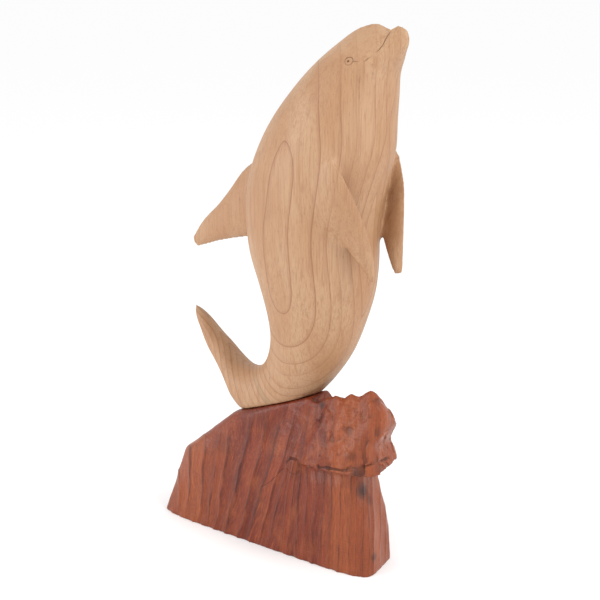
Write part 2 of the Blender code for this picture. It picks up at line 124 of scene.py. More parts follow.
class Web:
    """A node tree that is being wired."""

    def __init__(self, tree: bpy.types.NodeTree) -> None:
        """Takes the shader or geometry tree to add nodes to."""
        self.tree = tree

    def add(self, kind: str, inputs: dict | None = None, **settings: object) -> bpy.types.Node:
        """Adds a node.

        Args:
            kind: The node's type.
            inputs: What to put in its inputs, by name or number.
            **settings: Its own settings, which are set first.

        Returns:
            The new node.
        """
        node = self.tree.nodes.new(kind)
        for name, value in settings.items():
            setattr(node, name, value)
        for key, value in (inputs or {}).items():
            self.feed(node.inputs[key], value)
        return node

    def feed(self, socket: Socket, value: Feed) -> None:
        """Links an output socket to an input, or sets the input to a plain value.

        Args:
            socket: The input.
            value: An output socket, or a plain value.
        """
        if isinstance(value, bpy.types.NodeSocket):
            self.tree.links.new(value, socket)
        else:
            socket.default_value = value

    def maths(self, operation: str, *values: Feed) -> Socket:
        """A sum on one, two or three numbers, by the Math node's operation."""
        return self.add("ShaderNodeMath", dict(enumerate(values)), operation=operation).outputs[0]

    def times(self, first: Feed, *others: Feed) -> Socket:
        """The product of all the numbers.

        Args:
            first: The first number.
            *others: The numbers it is multiplied by.

        Returns:
            The product.
        """
        for other in others:
            first = self.maths("MULTIPLY", first, other)
        return first

    def vector(self, operation: str, first: Feed, second: Feed = (0.0, 0.0, 0.0)) -> Socket:
        """A sum on one or two vectors, by the Vector Math node's operation."""
        return self.add("ShaderNodeVectorMath", {0: first, 1: second}, operation=operation).outputs[0]

    def scaled(self, at: Feed, by: Feed) -> Socket:
        """The vector at, multiplied by a number's output, or on each axis by its own share of by."""
        return self.vector("MULTIPLY", at, by)

    def join(self, x: Feed, y: Feed, z: Feed) -> Socket:
        """A vector from its three parts."""
        return self.add("ShaderNodeCombineXYZ", {0: x, 1: y, 2: z}).outputs[0]

    def parts(self, at: Socket) -> tuple[Socket, Socket, Socket]:
        """The three parts of a vector."""
        node = self.add("ShaderNodeSeparateXYZ", {0: at})
        return node.outputs[0], node.outputs[1], node.outputs[2]

    def climb(
        self, value: Feed, start: Feed, full: Feed, low: Feed = 0.0, high: Feed = 1.0, smooth: bool = True
    ) -> Socket:
        """A value that climbs from low to high while another goes from start to full.

        Args:
            value: The value to read.
            start: Where the climb starts.
            full: Where it is complete.
            low: The result before the climb.
            high: The result after it.
            smooth: Whether the climb eases in and out, or is straight.

        Returns:
            The result.
        """
        kind = "SMOOTHSTEP" if smooth else "LINEAR"
        inputs = {"Value": value, "From Min": start, "From Max": full, "To Min": low, "To Max": high}
        return self.add("ShaderNodeMapRange", inputs, interpolation_type=kind).outputs[0]

    def noise(self, at: Feed, pattern: Pattern) -> Socket:
        """Soft noise from 0 to 1, about 0.5 in the middle.

        Args:
            at: The place.
            pattern: The noise's size and its finer layers.

        Returns:
            The noise.
        """
        inputs = {"Vector": self.scaled(at, pattern.stretch), "Scale": 1.0}
        inputs |= {"Detail": pattern.detail, "Roughness": pattern.roughness}
        return self.add("ShaderNodeTexNoise", inputs).outputs[0]

    def spread(self, noise: Socket, reach: Feed) -> Socket:
        """Noise turned into a number from -reach to reach."""
        return self.times(self.maths("MULTIPLY_ADD", noise, 2.0, -1.0), reach)

    def chance(self, value: Feed) -> Socket:
        """A random number from 0 to 1 for each whole number."""
        return self.add("ShaderNodeTexWhiteNoise", {"W": value}, noise_dimensions="1D").outputs["Value"]

    def tint(self, share: Feed, first: Feed, second: Feed) -> Socket:
        """The second colour laid over the first, as strongly as the share says."""
        first, second = (c if isinstance(c, bpy.types.NodeSocket) else (*c, 1.0) for c in (first, second))
        return self.add("ShaderNodeMix", {0: share, 6: first, 7: second}, data_type="RGBA").outputs[2]

    def carried(self, mark: Mark) -> Socket:
        """A value that the mesh carries, read in a shader."""
        return self.add("ShaderNodeAttribute", attribute_name=mark.value).outputs["Fac"]

    def place(self) -> Socket:
        """The point that is shaded, in millimetres."""
        return self.scaled(self.add("ShaderNodeTexCoord").outputs["Object"], (MILLIMETRES,) * 3)


class Finish:
    """A material that is being wired."""

    def __init__(self, name: str) -> None:
        """Starts the material.

        Args:
            name: Its name.
        """
        self.material = bpy.data.materials.new(name)
        self.material.use_nodes = True
        self.web = Web(self.material.node_tree)
        self.inputs = self.material.node_tree.nodes["Principled BSDF"].inputs

    def bump(self, height: Socket, strength: float, depth: float) -> None:
        """Lets relief that is too fine for the mesh catch the light, as deep as depth, in metres."""
        node = self.web.add("ShaderNodeBump", {"Height": height, "Strength": strength, "Distance": depth})
        self.web.feed(self.inputs["Normal"], node.outputs[0])


class Relief:
    """The points of a piece's mesh, to smooth them and to cut into them."""

    def __init__(self, piece: bpy.types.Object) -> None:
        """Reads the mesh.

        Args:
            piece: The object whose mesh is worked on. Its points are read in millimetres.
        """
        self.mesh = piece.data
        count = len(self.mesh.vertices)
        flat = np.empty(count * 3)
        self.mesh.vertices.foreach_get("co", flat)
        self.points = flat.reshape(-1, 3) * MILLIMETRES
        ends = np.empty(len(self.mesh.edges) * 2, np.int32)
        self.mesh.edges.foreach_get("vertices", ends)
        self.starts, self.ends = ends.reshape(-1, 2).T
        self.degree = np.bincount(ends, minlength=count).astype(float)
        self.shade_and_stain_marks = np.zeros(count)

    def bend(self, values: np.ndarray) -> np.ndarray:
        """How far each point's values differ from its neighbours', added over them.

        Args:
            values: A row of values for each point.

        Returns:
            A row of the same kind for each point.
        """
        total = self.degree[:, None] * values
        for axis in range(values.shape[1]):
            column = values[:, axis]
            total[:, axis] -= np.bincount(self.starts, column[self.ends], len(values))
            total[:, axis] -= np.bincount(self.ends, column[self.starts], len(values))
        return total

    def relax(self, reach: float, hold: np.ndarray | float = 1.0, rounds: int = 120) -> None:
        """Takes out unevenness that is shorter than a length, and keeps the form and the volume.

        It solves for the surface that bends least while each point is held to where it was.

        Args:
            reach: The length, in edges of the mesh over two pi.
            hold: How firmly each point is held, 1 as a rule.
            rounds: How many steps of the solver.
        """
        hold = np.broadcast_to(np.asarray(hold, float), len(self.points))[:, None]
        start = self.points
        found = start.copy()
        rest = -(reach**4) * self.bend(self.bend(start))
        way = rest.copy()
        size = (rest * rest).sum(0)
        for _ in range(rounds):
            push = hold * way + reach**4 * self.bend(self.bend(way))
            step = size / np.maximum((way * push).sum(0), 1e-30)
            found += step * way
            rest -= step * push
            new_size = (rest * rest).sum(0)
            way = rest + new_size / np.maximum(size, 1e-30) * way
            size = new_size
        self.points = found

    def sharpness(self, edge: float) -> np.ndarray:
        """How strongly the surface curves, for a usual edge: above 0 on edges, below in creases."""
        return (self.bend(self.points) * self.normals()).sum(1) / edge**2

    def spread(self, values: np.ndarray, times: int) -> np.ndarray:
        """Values averaged with their neighbours' several times.

        Args:
            values: One value for each point.
            times: How many times.

        Returns:
            The averaged values.
        """
        values = values[:, None]
        for _ in range(times):
            values = values - self.bend(values) / (self.degree[:, None] + 1)
        return values[:, 0]

    def draw_out(self, edges: np.ndarray, near: float, far: float) -> None:
        """Brings the points beside sharp edges onto them, so that these run clean.

        Args:
            edges: The two ends of each edge, in millimetres.
            near: Points this close go all the way.
            far: Points this far stay.
        """
        best = np.full(len(self.points), far)
        target = self.points.copy()
        for start, end in edges:
            low, high = np.minimum(start, end) - far, np.maximum(start, end) + far
            picked = np.flatnonzero(((self.points > low) & (self.points < high)).all(1))
            at = self.points[picked]
            along = end - start
            share = np.clip((at - start) @ along / (along @ along), 0, 1)
            foot = start + share[:, None] * along
            gap = np.linalg.norm(at - foot, axis=1)
            closer = gap < best[picked]
            best[picked[closer]] = gap[closer]
            target[picked[closer]] = foot[closer]
        share = smooth_step(best, far, near)
        self.points = self.points + share[:, None] * (target - self.points)

    def normals(self) -> np.ndarray:
        """The outward direction at each point, as the points now stand.

        Returns:
            A row of length 1 for each point.
        """
        self.write()
        flat = np.empty(len(self.points) * 3)
        self.mesh.vertices.foreach_get("normal", flat)
        return flat.reshape(-1, 3)

    def press(self, depth: np.ndarray, shade_and_stain: np.ndarray | float = 0.0) -> None:
        """Pushes each point in by its depth, in millimetres, and darkens it by a share from 0 to 1: painted
        shade and stain in most grooves.
        """
        self.points = self.points - self.normals() * depth[:, None]
        self.darken(shade_and_stain)

    def darken(self, shade_and_stain: np.ndarray | float) -> None:
        """Darkens each point at least as far as this, from 0 to 1."""
        self.shade_and_stain_marks = np.maximum(self.shade_and_stain_marks, shade_and_stain)

    def write(self) -> None:
        """Puts the points back into the mesh."""
        self.mesh.vertices.foreach_set("co", (self.points / MILLIMETRES).ravel())
        self.mesh.update()

    def carry(self, mark: Mark, values: np.ndarray) -> None:
        """Makes the mesh carry a value for each point."""
        layer = self.mesh.attributes.new(mark.value, "FLOAT", "POINT")
        layer.data.foreach_set("value", values.astype(np.float32))

    def finish(self) -> None:
        """Puts the points, and the painted shade and stain, back into the mesh."""
        self.write()
        self.carry(Mark.SHADE_AND_STAIN, self.shade_and_stain_marks)


def distance(points: np.ndarray, place: Sequence[float]) -> np.ndarray:
    """Distance of each point from a place."""
    return np.linalg.norm(points - place, axis=1)


def near_line(
    points: np.ndarray, path: Sequence[Sequence[float]], axes: Sequence[int] = (0, 1, 2)
) -> np.ndarray:
    """Distance of each point from a line of straight stretches.

    Args:
        points: The points, in millimetres.
        path: The line's corners, given by the axes that count.
        axes: The axes that count. Leaving one out looks along it.

    Returns:
        One distance for each point.
    """
    at = points[:, axes]
    corners = np.asarray(path, float)
    nearest = np.full(len(points), np.inf)
    for start, end in zip(corners, corners[1:]):
        along = end - start
        share = np.clip((at - start) @ along / (along @ along), 0, 1)
        nearest = np.minimum(nearest, np.linalg.norm(at - start - share[:, None] * along, axis=1))
    return nearest


def groove(gap: np.ndarray, half_width: float) -> np.ndarray:
    """The profile of a groove with a rounded bottom: 1 at its middle, 0 at its rims."""
    past_middle = -0.35 * half_width
    return smooth_step(gap, half_width, past_middle) / smooth_step(np.zeros(1), half_width, past_middle)


def closed_shape(node: bpy.types.Object) -> bmesh.types.BMesh:
    """A copy of a solid's mesh with its loose triangles joined. Its user frees it.

    Args:
        node: The solid.

    Returns:
        The copy.
    """
    shape = bmesh.new()
    shape.from_mesh(node.data)
    bmesh.ops.remove_doubles(shape, verts=shape.verts, dist=MERGE_GAP)
    bmesh.ops.recalc_face_normals(shape, faces=shape.faces)
    return shape


def merged_copy(name: str, node: bpy.types.Object) -> bpy.types.Object:
    """A new object in the scene, with a closed copy of a solid's mesh.

    Args:
        name: The new object's name.
        node: The solid.

    Returns:
        The new object.
    """
    shape = closed_shape(node)
    mesh = bpy.data.meshes.new(name)
    shape.to_mesh(mesh)
    shape.free()
    piece = bpy.data.objects.new(name, mesh)
    bpy.context.scene.collection.objects.link(piece)
    return piece


def thin_edges(node: bpy.types.Object, angle: float) -> np.ndarray:
    """The sharp outward edges of a solid.

    Args:
        node: The solid.
        angle: How far the surface turns at a sharp edge, at least, in radians.

    Returns:
        The two ends of each edge, in millimetres.
    """
    shape = closed_shape(node)
    sharp = [edge for edge in shape.edges if edge.is_manifold and edge.calc_face_angle_signed() > angle]
    ends = np.array([[vert.co[:] for vert in edge.verts] for edge in sharp]) * MILLIMETRES
    shape.free()
    return ends


def settle(piece: bpy.types.Object) -> None:
    """Turns what an object's modifiers make into its plain mesh, and takes them off.

    Args:
        piece: The object.
    """
    graph = bpy.context.evaluated_depsgraph_get()
    mesh = bpy.data.meshes.new_from_object(piece.evaluated_get(graph))
    old = piece.data
    piece.modifiers.clear()
    piece.data = mesh
    bpy.data.meshes.remove(old)


def remesh(piece: bpy.types.Object, edge: float) -> None:
    """Gives an object an even mesh of small squares.

    Args:
        piece: The object, with a closed mesh.
        edge: The length of their edges, in metres.
    """
    modifier = piece.modifiers.new("even_mesh", "REMESH")
    modifier.mode = "VOXEL"
    modifier.voxel_size = edge
    settle(piece)


def refine(piece: bpy.types.Object, chosen: Callable[[np.ndarray], np.ndarray]) -> None:
    """Cuts each edge in two, and so each square in four, in a part of a mesh.

    Args:
        piece: The object.
        chosen: Says for face centres, in millimetres, which faces are cut.
    """
    shape = bmesh.new()
    shape.from_mesh(piece.data)
    centres = np.array([face.calc_center_median()[:] for face in shape.faces]) * MILLIMETRES
    picked = chosen(centres)
    edges = {edge for face, yes in zip(shape.faces, picked) if yes for edge in face.edges}
    bmesh.ops.subdivide_edges(shape, edges=list(edges), cuts=1, use_grid_fill=True)
    shape.to_mesh(piece.data)
    shape.free()


def hand_over(piece: bpy.types.Object, node: str) -> None:
    """Says what a finished piece rides on, and what it stands for.

    Args:
        piece: The finished piece.
        node: The name of the solid that it stands for.
    """
    piece.data.shade_smooth()
    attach(piece, BODY)
    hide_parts(node)
    log.info("%s: %d faces, stands for %s", piece.name, len(piece.data.polygons), node)


class Recipe:
    """A Geometry Nodes tree that works over a mesh, with named inputs."""

    def __init__(self, name: str, sizes: dict[str, float]) -> None:
        """Starts the tree.

        Args:
            name: Its name.
            sizes: Its inputs and the value of each.
        """
        self.tree = bpy.data.node_groups.new(name, "GeometryNodeTree")
        self.tree.is_modifier = True
        self.sizes = sizes
        sockets = self.tree.interface
        sockets.new_socket("Geometry", in_out="OUTPUT", socket_type="NodeSocketGeometry")
        sockets.new_socket("Geometry", in_out="INPUT", socket_type="NodeSocketGeometry")
        self.keys = {}
        for size in sizes:
            socket = sockets.new_socket(size, in_out="INPUT", socket_type="NodeSocketFloat")
            self.keys[size] = socket.identifier
        self.web = Web(self.tree)
        self.input = self.web.add("NodeGroupInput")
        self.mesh = self.input.outputs[0]
        self.place = self.web.add("GeometryNodeInputPosition").outputs[0]
        self.out = self.web.add("GeometryNodeInputNormal").outputs[0]

    def size(self, name: str) -> Socket:
        """One of the named inputs."""
        return self.input.outputs[name]

    def carried(self, mark: Mark) -> Socket:
        """A value that the mesh carries."""
        node = self.web.add("GeometryNodeInputNamedAttribute", {"Name": mark.value}, data_type="FLOAT")
        return node.outputs["Attribute"]

    def store(self, mark: Mark, value: Socket) -> None:
        """Makes the mesh carry a value for its finish.

        Args:
            mark: The value's name.
            value: The value at each point.
        """
        inputs = {"Geometry": self.mesh, "Name": mark.value, "Value": value}
        node = self.web.add("GeometryNodeStoreNamedAttribute", inputs, data_type="FLOAT", domain="POINT")
        self.mesh = node.outputs[0]

    def move(self, offset: Socket) -> None:
        """Moves each point of the mesh by an offset."""
        inputs = {"Geometry": self.mesh, "Offset": offset}
        self.mesh = self.web.add("GeometryNodeSetPosition", inputs).outputs[0]

    def apply(self, piece: bpy.types.Object, material: bpy.types.Material) -> None:
        """Ends the tree, runs it on a piece, and keeps the result as a plain mesh.

        Args:
            piece: The object that is worked over.
            material: The finish that its faces get.
        """
        real = self.web.add("GeometryNodeRealizeInstances", {"Geometry": self.mesh}).outputs[0]
        dressed = self.web.add("GeometryNodeSetMaterial", {"Geometry": real, "Material": material})
        self.web.add("NodeGroupOutput", {0: dressed.outputs[0]})
        modifier = piece.modifiers.new(self.tree.name, "NODES")
        modifier.node_group = self.tree
        for size, value in self.sizes.items():
            modifier[self.keys[size]] = float(value)
        settle(piece)


@dataclass(frozen=True)
class GrowthRings:
    """How the tree's growth rings show on the dolphin.

    On each flank they are nested loops round an upright middle line, open at the top, so they
    run on as straight lines over the head and the belly. Below, they close in the tail's bend.
    A profile has rows of a height and the value there.

    The middles say where the middle line stands, across the view. The closings say how far out the
    middle line itself lies among the loops, 0 where these run upright. The spread, to the right
    past spread_from, and the tail, to the left, say how closely the rings follow each other, against
    1. The reaches of the first rings are counted from the middle line, and later ones follow at the
    gap. The trunk has rows of a height, the trunk's middle, its half length and its half width.
    """

    turn: float = math.radians(38)
    middles: Profile = ((60, 6.0), (150, 6.0), (194, 3.8), (256, -1.3), (319, 6.3), (460, 6.3))
    closings: Profile = (
        (60, 108.0), (111, 70.0), (144, 44.2), (155, 36.6), (167.5, 25.7), (194, 9.2), (215, 3.4),
        (240, 0.0), (275, 0.0), (297, 3.4), (319, 9.2), (340, 11.0), (460, 11.0),
    )
    reaches: tuple[float, ...] = (9.1, 25.7, 36.6, 44.2, 53.3, 59.0, 64.4, 69.4, 74.2, 78.8)
    gap: float = 7.5
    later_rings: int = 29
    spread_from: float = 25.0
    spread_ease: float = 4.0
    spread: Profile = ((60, 1.0), (265, 1.0), (330, 0.72), (460, 0.72))
    tail: Profile = ((60, 2.0), (155, 2.0), (190, 1.0), (460, 1.0))
    softness: float = 7.0
    trunk: tuple[tuple[float, float, float, float], ...] = (
        (229, 34.6, 50.5, 42.8),
        (259, 33.1, 52.0, 45.7),
        (289, 37.5, 53.7, 46.9),
        (315, 45.9, 52.0, 45.4),
        (338, 53.5, 45.9, 41.1),
    )

    def by_height(self, rows: Profile, z: np.ndarray) -> np.ndarray:
        """Reads a profile at each height, with its corners softened.

        Args:
            rows: The profile.
            z: The heights to read it at.

        Returns:
            The profile's value at each height.
        """
        levels = np.arange(60.0, 461.0)
        reach = 24
        weights = np.exp(-0.5 * (np.arange(-reach, reach + 1) / self.softness) ** 2)
        heights, values = np.transpose(rows)
        padded = np.pad(np.interp(levels, heights, values), reach, mode="edge")
        return np.interp(z, levels, np.convolve(padded, weights / weights.sum(), "valid"))

    def number(self, points: np.ndarray) -> np.ndarray:
        """The growth ring at each point, whole at each dark line and higher outwards.

        Args:
            points: The points, in millimetres.

        Returns:
            One number for each point.
        """
        x, y, z = points.T
        across = x * math.cos(self.turn) - np.abs(y) * math.sin(self.turn) - self.by_height(self.middles, z)
        excess = across - self.spread_from
        excess = (excess + np.hypot(excess, self.spread_ease)) / 2
        right = across - (1 - self.by_height(self.spread, z)) * excess
        left = np.minimum(across, 0) * (self.by_height(self.tail, z) - 1)
        reach = np.hypot(right + left, self.by_height(self.closings, z))
        reach = reach + 0.35 * np.sin(z / 21 + x / 31) + 0.2 * np.sin(z / 8.3 - x / 23 + 1.0)
        later = self.reaches[-1] + self.gap * np.arange(1, self.later_rings + 1)
        places = np.concatenate([[0.0], self.reaches, later])
        numbers = np.arange(len(places), dtype=float)
        numbers[0] = 0.5
        return np.interp(reach, places, numbers)

    def step(self, points: np.ndarray, normals: np.ndarray) -> np.ndarray:
        """How many rings are crossed by a millimetre along the surface, at each point.

        Args:
            points: The points, in millimetres.
            normals: The outward directions there.

        Returns:
            One number for each point.
        """
        shift = 0.1
        steps = shift * np.eye(3)
        slope = np.stack([self.number(points + way) - self.number(points - way) for way in steps], axis=1)
        slope /= 2 * shift
        slope -= normals * (slope * normals).sum(1, keepdims=True)
        return np.linalg.norm(slope, axis=1)

    def in_fin(self, points: np.ndarray) -> np.ndarray:
        """How far each point belongs to a fin, from 0 to 1: whether it stands off the trunk.

        Args:
            points: The points, in millimetres.

        Returns:
            One number for each point.
        """
        x, y, z = points.T
        heights, middle, length, width = np.transpose(self.trunk)
        along = (x - np.interp(z, heights, middle)) / np.interp(z, heights, length)
        off = np.hypot(along, y / np.interp(z, heights, width))
        front = smooth_step(off, 1.04, 1.25) * (x > 45)
        back = smooth_step(off, 1.05, 1.20) * (x < 10)
        return (front + back) * (z > 215) * (z < 330)


def seat_plane(web: Web, x: Feed, millimetre: float = 1.0) -> Socket:
    """How high the base's sloping seat stands at x, in a unit in which a millimetre has this length."""
    from_middle = web.maths("SUBTRACT", x, SEAT_MIDDLE * millimetre)
    return web.maths("MULTIPLY_ADD", from_middle, math.tan(SEAT_TILT), SEAT_HEIGHT * millimetre)


@dataclass(frozen=True)
class PaleWood:
    """Pale wood, sanded and waxed: growth rings, fibres, pores and a little red stain at the foot."""

    light: Colour = linear(178, 142, 109)
    warm: Colour = linear(169, 128, 93)
    ring: Colour = linear(130, 80, 50)
    band: Colour = linear(154, 113, 83)
    pore: Colour = linear(118, 78, 54)
    orange: Colour = linear(150, 105, 68)
    olive: Colour = linear(150, 123, 93)
    # Colour of the painted shade and stain in the face's grooves and the checks.
    shade_and_stain: Colour = linear(62, 36, 24)
    stain: Colour = linear(128, 66, 46)
    roughness: float = 0.50
    gloss: float = 0.4
    line_width: float = 0.7
    line_strength: float = 0.58
    band_width: float = 3.6
    band_strength: float = 0.6
    least_step: float = 0.012
    patches: Pattern = Pattern((0.03, 0.03, 0.012))
    streaks: Pattern = Pattern((0.20, 0.20, 0.005), 3.0, 0.6)
    threads: Pattern = Pattern((0.75, 0.75, 0.012), 2.0, 0.6)
    fibres: Pattern = Pattern((1.3, 1.3, 0.03), 3.0, 0.65)
    dashes: Pattern = Pattern((2.1, 2.1, 0.20), 1.0)
    hatch: Pattern = Pattern((0.9, 0.9, 1.3))
    blots: Pattern = Pattern((0.22, 0.22, 0.22), 3.0)

    def grain(self, web: Web, height: Socket, colour: Socket) -> tuple[Socket, Socket]:
        """Lays the growth rings over a colour, fainter on the head.

        Args:
            web: The tree that is wired.
            height: How high the point stands, in millimetres.
            colour: The colour beneath.

        Returns:
            The new colour, and how much each point lies on a dark line.
        """
        number = web.carried(Mark.RING)
        step = web.maths("MAXIMUM", web.carried(Mark.RING_STEP), self.least_step)
        nearest = web.maths("ROUND", number)
        off = web.maths("DIVIDE", web.maths("SUBTRACT", number, nearest), step)
        own = web.climb(web.chance(nearest), 0.0, 1.0, 0.35, 0.8, smooth=False)
        own = web.maths("MAXIMUM", own, web.climb(nearest, 3.0, 2.0, 0.0, 0.95))
        own = web.times(own, web.maths("SUBTRACT", 1.0, web.carried(Mark.FIN)))
        own = web.times(own, web.climb(height, 395.0, 330.0, 0.45, 1.0))
        line = web.climb(web.maths("ABSOLUTE", off), self.line_width, 0.1)
        before = web.times(web.climb(off, -self.band_width, 0.0), web.maths("LESS_THAN", off, 0.0))
        colour = web.tint(web.times(before, own, self.band_strength), colour, self.band)
        colour = web.tint(web.times(line, own, self.line_strength), colour, self.ring)
        return colour, line

    def stained(self, web: Web, at: Socket, colour: Socket) -> Socket:
        """Lets a little of the base's red stain run onto the foot.

        Args:
            web: The tree that is wired.
            at: The point, in millimetres.
            colour: The colour beneath.

        Returns:
            The new colour.
        """
        x, _, z = web.parts(at)
        above = web.maths("SUBTRACT", z, seat_plane(web, x))
        reach = web.climb(x, 22.0, 40.0, 1.6, 8.0)
        blot = web.noise(at, self.blots)
        bleed = web.times(web.climb(above, reach, 0.0), web.climb(blot, 0.40, 0.62), 0.6)
        ragged = web.maths("MULTIPLY_ADD", blot, 2.4, 0.2)
        rim = web.climb(above, ragged, web.times(ragged, 0.3), high=0.85)
        return web.tint(web.maths("MAXIMUM", bleed, rim), colour, self.stain)

    def material(self) -> bpy.types.Material:
        """Wires the finish.

        Returns:
            The new material.
        """
        finish = Finish("pale_wood")
        web = finish.web
        at = web.place()
        x, _, z = web.parts(at)
        fibres = web.noise(at, self.fibres)

        colour = web.tint(web.climb(web.noise(at, self.patches), 0.35, 0.65), self.light, self.warm)
        colour = web.tint(web.climb(web.noise(at, self.streaks), 0.50, 0.76, high=0.6), colour, self.orange)
        _, _, tip = web.parts(web.add("ShaderNodeNewGeometry").outputs["Normal"])
        side = web.climb(web.maths("ABSOLUTE", tip), 0.85, 0.45, 0.15, 0.56)
        threads = web.climb(web.noise(at, self.threads), 0.48, 0.68)
        colour = web.tint(web.times(threads, side), colour, self.band)
        colour = web.tint(web.times(web.climb(fibres, 0.42, 0.75), side), colour, self.band)
        ring = web.carried(Mark.RING)
        own = web.chance(web.maths("ADD", web.maths("FLOOR", ring), 17.0))
        outer = web.times(web.climb(ring, 3.0, 6.0), web.climb(x, -30.0, 5.0))
        colour = web.tint(web.times(web.climb(own, 0.35, 0.9, high=0.7), outer), colour, self.olive)
        colour = web.tint(web.times(web.climb(own, 0.4, 0.0, high=0.55), outer), colour, self.orange)
        colour, line = self.grain(web, z, colour)
        hatch = web.times(web.climb(web.noise(at, self.hatch), 0.48, 0.66, high=0.4), web.carried(Mark.FIN))
        colour = web.tint(hatch, colour, self.band)
        pores = web.climb(web.noise(at, self.dashes), 0.64, 0.74, high=0.38)
        colour = web.tint(pores, colour, self.pore)
        colour = self.stained(web, at, colour)
        # The grooves of the mouth, eyes and checks are darkened: painted shade and stain.
        colour = web.tint(web.carried(Mark.SHADE_AND_STAIN), colour, self.shade_and_stain)
        web.feed(finish.inputs["Base Color"], colour)

        rough = web.climb(fibres, 0.3, 0.8, self.roughness - 0.05, self.roughness + 0.09)
        web.feed(finish.inputs["Roughness"], rough)
        height = web.maths("MULTIPLY_ADD", fibres, 0.5, web.times(pores, -1.2))
        finish.bump(web.maths("MULTIPLY_ADD", line, -0.25, height), 0.25, 0.0002)
        web.feed(finish.inputs["Specular IOR Level"], self.gloss)
        return finish.material


@dataclass(frozen=True)
class RedBrownWood:
    """Red-brown wood, tooled and lacquered, with streaks along the flutes and ripples across them."""

    deep: Colour = linear(97, 35, 22)
    middle: Colour = linear(124, 52, 30)
    bright: Colour = linear(163, 88, 46)
    dark: Colour = linear(44, 18, 14)
    roughness: float = 0.36
    gloss: float = 0.22
    coat: float = 0.16
    coat_roughness: float = 0.12
    flute_pitch: float = 10.0
    broad: Pattern = Pattern((0.09, 0.06, 0.012), 3.0, 0.6)
    streaks: Pattern = Pattern((0.7, 0.5, 0.02), 3.0, 0.65)
    fibres: Pattern = Pattern((2.6, 2.2, 0.07), 3.0, 0.7)
    breaks: Pattern = Pattern((0.1, 0.1, 0.05))
    cloud: Pattern = Pattern((0.05, 0.05, 0.04), 3.0)
    wave: Pattern = Pattern((0.12, 0.12, 0.6))
    rippled: Pattern = Pattern((0.03, 0.03, 0.03), 1.0)

    def borders(self, web: Web, along: Socket, flute: Socket) -> Socket:
        """How far each point lies on the dark, broken line between two flutes.

        Args:
            web: The tree that is wired.
            along: The point, laid out along the flutes.
            flute: The flute's number there.

        Returns:
            A number from 0 to 1.
        """
        inside = web.maths("FRACT", flute)
        border = web.maths("MINIMUM", inside, web.maths("SUBTRACT", 1.0, inside))
        broken = web.climb(web.noise(along, self.breaks), 0.35, 0.6)
        return web.times(web.climb(border, 0.16, 0.0), web.carried(Mark.WORK), broken)

    def ripple(self, web: Web, at: Socket, z: Socket) -> Socket:
        """Waves across the grain, from -1 to 1, which show in some places only."""
        phase = web.maths("MULTIPLY_ADD", z, 2.8, web.times(web.noise(at, self.wave), 9.0))
        return web.times(web.maths("SINE", phase), web.climb(web.noise(at, self.rippled), 0.42, 0.6))

    def material(self) -> bpy.types.Material:
        """Wires the finish.

        Returns:
            The new material.
        """
        finish = Finish("red_brown_wood")
        web = finish.web
        at = web.place()
        x, y, z = web.parts(at)
        flute = web.carried(Mark.FLUTE)
        along = web.join(web.times(flute, self.flute_pitch), y, z)
        streaks = web.noise(along, self.streaks)
        fibres = web.noise(along, self.fibres)
        cloud = web.noise(at, self.cloud)

        colour = web.tint(web.climb(web.noise(along, self.broad), 0.35, 0.62), self.deep, self.middle)
        ends = web.maths("MAXIMUM", web.climb(x, -10.0, -75.0), web.climb(x, 55.0, 80.0))
        ends = web.maths("MAXIMUM", ends, web.climb(cloud, 0.48, 0.78))
        colour = web.tint(web.times(ends, 0.45), colour, self.bright)
        share = web.maths("MULTIPLY_ADD", ends, 0.35, 0.42)
        colour = web.tint(web.times(web.climb(streaks, 0.46, 0.72), share), colour, self.bright)
        own = web.chance(web.maths("FLOOR", flute))
        colour = web.tint(web.climb(own, 0.0, 1.0, high=0.45), colour, self.deep)
        colour = web.tint(web.climb(fibres, 0.48, 0.2, high=0.85), colour, self.bright)
        colour = web.tint(web.climb(fibres, 0.52, 0.76, high=0.75), colour, self.dark)
        chip = web.carried(Mark.CHIP)
        # On the crag, each chip is painted lighter towards its raised side and darker towards its sunken
        # side.
        colour = web.tint(web.climb(chip, 0.02, 0.40, high=0.22), colour, self.bright)
        colour = web.tint(web.climb(chip, -0.10, -0.42, high=0.38), colour, self.dark)
        colour = web.tint(web.times(self.borders(web, along, flute), 0.55), colour, self.dark)
        ripple = self.ripple(web, at, z)
        colour = web.tint(web.climb(ripple, 0.3, 1.0, high=0.16), colour, self.deep)
        # Darkens the line under the ledge and the ring round the knot as painted shadow, and also the
        # stains, the crack and the knot's fine rings.
        colour = web.tint(web.carried(Mark.SHADE_AND_STAIN), colour, self.dark)
        web.feed(finish.inputs["Base Color"], colour)

        rough = web.climb(cloud, 0.3, 0.7, self.roughness - 0.08, self.roughness + 0.14)
        web.feed(finish.inputs["Roughness"], rough)
        height = web.maths("MULTIPLY_ADD", fibres, 0.8, web.times(streaks, 0.5))
        finish.bump(web.maths("MULTIPLY_ADD", ripple, 0.12, height), 0.5, 0.0006)
        web.feed(finish.inputs["Specular IOR Level"], self.gloss)
        web.feed(finish.inputs["Coat Weight"], self.coat)
        web.feed(finish.inputs["Coat Roughness"], self.coat_roughness)
        return finish.material


@dataclass(frozen=True)
class Paper:
    """The plain pale floor's finish."""

    shade: float = 0.94
    roughness: float = 0.9

    def material(self) -> bpy.types.Material:
        """A matt white.

        Returns:
            The new material.
        """
        finish = Finish("paper")
        finish.web.feed(finish.inputs["Base Color"], (self.shade, self.shade, self.shade, 1.0))
        finish.web.feed(finish.inputs["Roughness"], self.roughness)
        finish.web.feed(finish.inputs["Specular IOR Level"], 0.0)
        return finish.material


